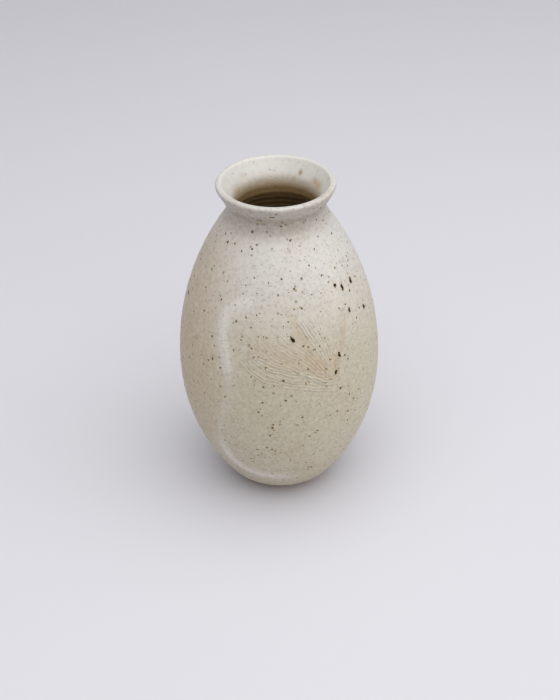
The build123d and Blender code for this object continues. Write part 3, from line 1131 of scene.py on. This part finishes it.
class POTTERY_OT_iron_nodules(bpy.types.Operator):
    """Builds the large iron nodules and the amber specks that stand out, each with a ragged outline"""

    bl_idname = "pottery.iron_nodules"
    bl_label = "Iron nodules"

    def execute(self, context):
        pot = Pot()
        colours = pot.colours
        iron = melted_iron(colours, "melted_iron", colours.iron)
        nodules = self.domes("iron_nodules", NODULES, NODULE_SIDES, NODULE_RISE, pot)
        stand(nodules, iron, "iron_melt", "iron_spots")
        rng = random.Random(AMBER_SEED)
        neck = pot.neck_height / MM
        specks = [
            (b, z / neck, wide * rng.uniform(0.85, 1.2), wide * rng.uniform(0.85, 1.4), rng.uniform(-60, 60))
            for b, z, wide in AMBER_SPECKS
        ]
        amber = melted_iron(colours, "amber_iron", colours.olive)
        stand(self.domes("amber_specks", specks, AMBER_SIDES, AMBER_RISE, pot), amber, "iron_melt")
        return {"FINISHED"}

    def domes(self, name, spots, sides, top, pot):
        """One mesh that holds a low dome for each spot."""
        rng = random.Random(RAGGED_SEED)
        points, faces = [], []
        rings = sides // 5
        for spot in spots:
            first = len(points)
            points += self.dome(spot, sides, rings, top, pot, rng)
            faces += dome_faces(first, rings + 2, sides, len(points) - 1)
        b, z, proud, rims = np.array(points).T
        out = proud + pot.unevenness(b, z) + pot.relief.rib_height * pot.ribs_at(b, z)
        mesh = listed_mesh(name, pot.outside_by(out, b, z), [], faces)
        mesh.validate()
        mesh.shade_smooth()
        store(mesh, "rim", rims)
        return mesh

    def dome(self, spot, sides, rings, top, pot, rng):
        """A dome's points, from its top to its closed underside: bearing, height, rise and rim."""
        bearing, place, wide, tall, lean = spot
        turn, height, tilt = math.radians(bearing), place * pot.neck_height, math.radians(lean)
        radius, squeeze = pot.radius_at(height), math.cos(pot.lean_at(height))
        waves = [(k, rng.uniform(0, 2 * math.pi), rng.uniform(0.06, 0.18)) for k in (2, 3, 4, 5)]
        levels = [(i / rings, top * (1 - (i / rings) ** 2) - DOME_SUNK) for i in range(1, rings + 1)]
        levels += [(1.0, -DOME_DEPTH), (0.5, -DOME_DEPTH)]
        points = [(0.0, 0.0, top - DOME_SUNK, 0.0)]
        for out, rise in levels:
            for k in range(sides):
                a = 2 * math.pi * k / sides
                ragged = 1 + sum(share * math.sin(n * a + phase) for n, phase, share in waves)
                u = out * ragged * wide / 2 * MM * math.cos(a)
                v = out * ragged * tall / 2 * MM * math.sin(a)
                x, y = u * math.cos(tilt) - v * math.sin(tilt), u * math.sin(tilt) + v * math.cos(tilt)
                points.append((x, y, rise, out**3))
        points.append((0.0, 0.0, -DOME_DEPTH, 0.0))
        return [(turn + x / radius, height + y * squeeze, rise, rim) for x, y, rise, rim in points]


class POTTERY_OT_iron_specks(bpy.types.Operator):
    """Scatters small iron specks over the outer coat and the liner near the mouth"""

    bl_idname = "pottery.iron_specks"
    bl_label = "Iron specks"

    def execute(self, context):
        pot = Pot()
        speck = bpy.data.objects.new("speck_shape", self.low_dome())
        context.scene.collection.objects.link(speck)
        tree = speckle_tree()
        values = {
            "Density": pot.speckle.density,
            "Smallest": pot.speckle.smallest,
            "Largest": pot.speckle.largest,
            "Seed": pot.speckle.seed,
            "Speck": speck,
            "Material": melted_iron(pot.colours, "speck_iron", pot.colours.olive),
        }
        for name, under in (("coat_specks", "speckled_coat"), ("liner_specks", "liner_coat")):
            mesh = grow(name, bpy.data.objects[under].data.copy(), tree, values)
            stand(mesh, mesh.materials[0], "iron_melt")
        bpy.data.objects.remove(speck)
        return {"FINISHED"}

    def low_dome(self):
        """One speck: a closed, nine-sided, low dome of unit radius whose edge lies under the surface."""
        sides = 9
        rings = [(0.6, 0.09, 0.3), (1.0, -0.04, 1.0), (0.7, -0.25, 0.0)]
        turns = [2 * math.pi * k / sides for k in range(sides)]
        points = [(0.0, 0.0, 0.13)]
        points += [(out * math.cos(a), out * math.sin(a), rise) for out, rise, _ in rings for a in turns]
        faces = dome_faces(0, len(rings), sides)
        faces.append(tuple(reversed(range(len(points) - sides, len(points)))))
        mesh = listed_mesh("speck_shape", points, [], faces)
        store(mesh, "rim", [0.0] + [rim for _, _, rim in rings for _ in turns])
        return mesh


class POTTERY_OT_liner(bpy.types.Operator):
    """Turns the liner glaze inside, with its finger rings"""

    bl_idname = "pottery.liner"
    bl_label = "Liner"

    def execute(self, context):
        pot = Pot()
        form, narrowest = pot.form, pot.neck_height

        def face_step(places):
            return np.where(places[:, 1] > narrowest - 2 * MM, LINER_NECK_STEP, LINER_STEP)

        back = spaced(pot.inside(form.coat), pot.covered_step)
        face = spaced(pot.inside(0.0)[::-1], face_step)
        points = np.concatenate([back, face])
        height, shown = points[:, 1], np.arange(len(points)) >= len(back)
        rings = shown * smooth_step(form.floor_top, form.floor_top + 6 * MM, height)
        rings = rings * (0.12 + 0.88 * smooth_step(narrowest + 2 * MM, narrowest - 5 * MM, height))
        rings = rings * smooth_step(form.height, form.height - 2.5 * MM, height)
        values = {
            "Columns": 240,
            "Ring Pitch": pot.relief.ring_pitch,
            "Ring Depth": pot.relief.ring_depth,
            "Wander": 0.3 * MM,
            "Seed": 4,
            "Material": satin_glaze(pot.colours, "liner_glaze", True),
        }
        mesh = turn_on_wheel("liner_coat", points, rings, values)
        for mark, numbers in self.marks(mesh, form.height).items():
            store(mesh, mark, numbers)
        stand(mesh, mesh.materials[0], "liner_glaze", "liner_glaze")
        return {"FINISHED"}

    def marks(self, mesh, top):
        """Where specks can be seen, near the mouth, and where the flare is stained, for each vertex."""
        count = len(mesh.vertices)
        place, way = np.empty((count, 3), np.float32), np.empty((count, 3), np.float32)
        mesh.vertices.foreach_get("co", place.reshape(-1))
        mesh.vertices.foreach_get("normal", way.reshape(-1))
        x, y, z = place.T
        inwards = x * way[:, 0] + y * way[:, 1] < 0
        turn = np.degrees(np.arctan2(x, -y))
        tan, amber = np.zeros(count), np.zeros(count)
        for bearing, below, wide, tall, tan_force, amber_force in FLARE_STAINS:
            across = (turn - bearing + 180) % 360 - 180
            near = inwards * bell(across, wide) * bell(top - z - below * MM, tall * MM)
            tan += tan_force * near
            amber += amber_force * near
        seen = inwards * (z < top - 1.2 * MM) * smooth_step(top - 60 * MM, top - 20 * MM, z)
        return {"speckled": 0.35 * seen, "stain": np.clip(tan, 0, 0.8), "halo": np.clip(amber, 0, 0.9)}


class POTTERY_OT_clay_body(bpy.types.Operator):
    """Turns the clay, which shows bare at the foot"""

    bl_idname = "pottery.clay_body"
    bl_label = "Clay body"

    def execute(self, context):
        pot = Pot()
        form = pot.form
        points = self.outline_points(pot, form)
        height = points[:, 1]
        foot = np.arange(len(points)) < len(points) // 2
        rings = foot * smooth_step(form.foot_height + 2 * MM, form.foot_height, height)
        values = {
            "Columns": 144,
            "Ring Pitch": 1.1 * MM,
            "Ring Depth": 0.06 * MM,
            "Wander": 0.12 * MM,
            "Seed": 9,
            "Material": bare_stoneware(pot.colours),
        }
        mesh = turn_on_wheel("fired_clay", points, rings * smooth_step(0, 0.6 * MM, height), values)
        stand(mesh, mesh.materials[0], "bare_clay", "clay_body")
        return {"FINISHED"}

    def outline_points(self, pot, form):
        """From the axis under the foot, up the outside, over the lip and down to the floor inside."""
        edge, inner, outer = form.foot_edge, form.foot_radius - form.foot_ring, form.foot_radius
        quarter = math.pi / 2
        foot = [(0.0, form.foot_recess)]
        foot += arc((inner - edge, form.foot_recess - edge), edge, quarter, 0)
        foot += arc((inner + edge, edge), edge, 2 * quarter, 3 * quarter)
        foot += arc((outer - edge, edge), edge, -quarter, 0)
        foot += [(outer, form.foot_height - edge), (outer + 0.4 * edge, form.foot_height)]
        outside = pot.outside(form.coat, -form.heel_end)
        bare = int(BARE_HEEL * len(outside))
        parts = [spaced(foot + outside[:bare], evenly(FOOT_STEP))]
        for covered in (outside[bare - 1 :], pot.inside(form.coat)[::-1]):
            parts.append(spaced(covered, pot.covered_step)[1:])
        return np.concatenate(parts)


class POTTERY_OT_studio(bpy.types.Operator):
    """Sets the vase on a pale table, under soft light, with the camera looking down at it"""

    bl_idname = "pottery.studio"
    bl_label = "Studio"

    def execute(self, context):
        studio = Pot().studio
        self.sweep(studio)
        for lamp in LAMPS:
            self.light(*lamp)
        self.room()
        self.camera(studio)
        context.scene.view_settings.view_transform = "Standard"
        return {"FINISHED"}

    def sweep(self, studio):
        """The table and the backdrop, one curved sheet."""
        front, back, bend, top, side = -3.6, 1.3, 0.6, 2.4, 3.8
        turns = np.linspace(0, math.pi / 2, 17)
        rows = [(front, 0.0)]
        rows += [(back + bend * math.sin(a), bend - bend * math.cos(a)) for a in turns]
        rows.append((back + bend, top))
        points = [(x, y, z) for y, z in rows for x in (-side, side)]
        faces = [(2 * i, 2 * i + 1, 2 * i + 3, 2 * i + 2) for i in range(len(rows) - 1)]
        mesh = listed_mesh("table", points, [], faces)
        mesh.shade_smooth()
        mesh.materials.append(table_paint(studio.floor))
        table = bpy.data.objects.new("table", mesh)
        bpy.context.scene.collection.objects.link(table)

    def light(self, name, place, width, power, tint):
        """A soft lamp that faces the vase."""
        lamp = bpy.data.lights.new(name, "AREA")
        lamp.shape = "DISK"
        lamp.size = width
        lamp.energy = power
        lamp.color = tint
        holder = bpy.data.objects.new(name, lamp)
        holder.location = place
        towards = Vector(LAMP_AIM) - Vector(place)
        holder.rotation_euler = towards.to_track_quat("-Z", "Y").to_euler()
        bpy.context.scene.collection.objects.link(holder)

    def room(self):
        """An even, pale world."""
        world = bpy.data.worlds.new("room")
        world.use_nodes = True
        back = world.node_tree.nodes["Background"]
        back.inputs["Color"].default_value = (0.96, 0.97, 1.0, 1.0)
        back.inputs["Strength"].default_value = ROOM_LIGHT
        bpy.context.scene.world = world

    def camera(self, studio):
        """The camera, above the front of the pot."""
        lens = bpy.data.cameras.new("camera")
        lens.lens = studio.lens
        lens.sensor_width = 36.0
        lens.sensor_fit = "AUTO"
        eye = bpy.data.objects.new("camera", lens)
        pitch = studio.camera_pitch
        aim = Vector((studio.aim_side, 0, studio.aim_height))
        ahead = Vector((0, math.cos(pitch), -math.sin(pitch)))
        turn = Matrix.Rotation(math.pi / 2 - pitch, 4, "X") @ Matrix.Rotation(studio.camera_roll, 4, "Z")
        eye.matrix_world = Matrix.Translation(aim - studio.camera_distance * ahead) @ turn
        bpy.context.scene.collection.objects.link(eye)
        bpy.context.scene.camera = eye


OPERATORS = [
    POTTERY_OT_studio,
    POTTERY_OT_clay_body,
    POTTERY_OT_liner,
    POTTERY_OT_outer_coat,
    POTTERY_OT_glaze_bead,
    POTTERY_OT_iron_nodules,
    POTTERY_OT_iron_specks,
]


class POTTERY_PT_vase(bpy.types.Panel):
    """Lists the vase's settings and its pieces"""

    bl_idname = "POTTERY_PT_vase"
    bl_label = "Stoneware Vase"
    bl_space_type = "VIEW_3D"
    bl_region_type = "UI"
    bl_category = "Pottery"

    def draw(self, context):
        for name, kind in SETTINGS.items():
            box = self.layout.box()
            box.label(text=kind.__doc__)
            for field in kind.__annotations__:
                box.prop(getattr(context.scene, name), field)
        for operator in OPERATORS:
            self.layout.operator(operator.bl_idname)


CLASSES = [*SETTINGS.values(), *OPERATORS, POTTERY_PT_vase]


def register():
    """Adds the classes, and the settings to every scene."""
    for kind in CLASSES:
        bpy.utils.register_class(kind)
    for name, kind in SETTINGS.items():
        setattr(bpy.types.Scene, name, PointerProperty(type=kind))


def unregister():
    """Takes away what register added."""
    for name in SETTINGS:
        delattr(bpy.types.Scene, name)
    for kind in reversed(CLASSES):
        bpy.utils.unregister_class(kind)


def main():
    """Builds the studio and every piece."""
    register()
    for operator in OPERATORS:
        group, name = operator.bl_idname.split(".")
        getattr(getattr(bpy.ops, group), name)()


if __name__ == "__main__":
    main()
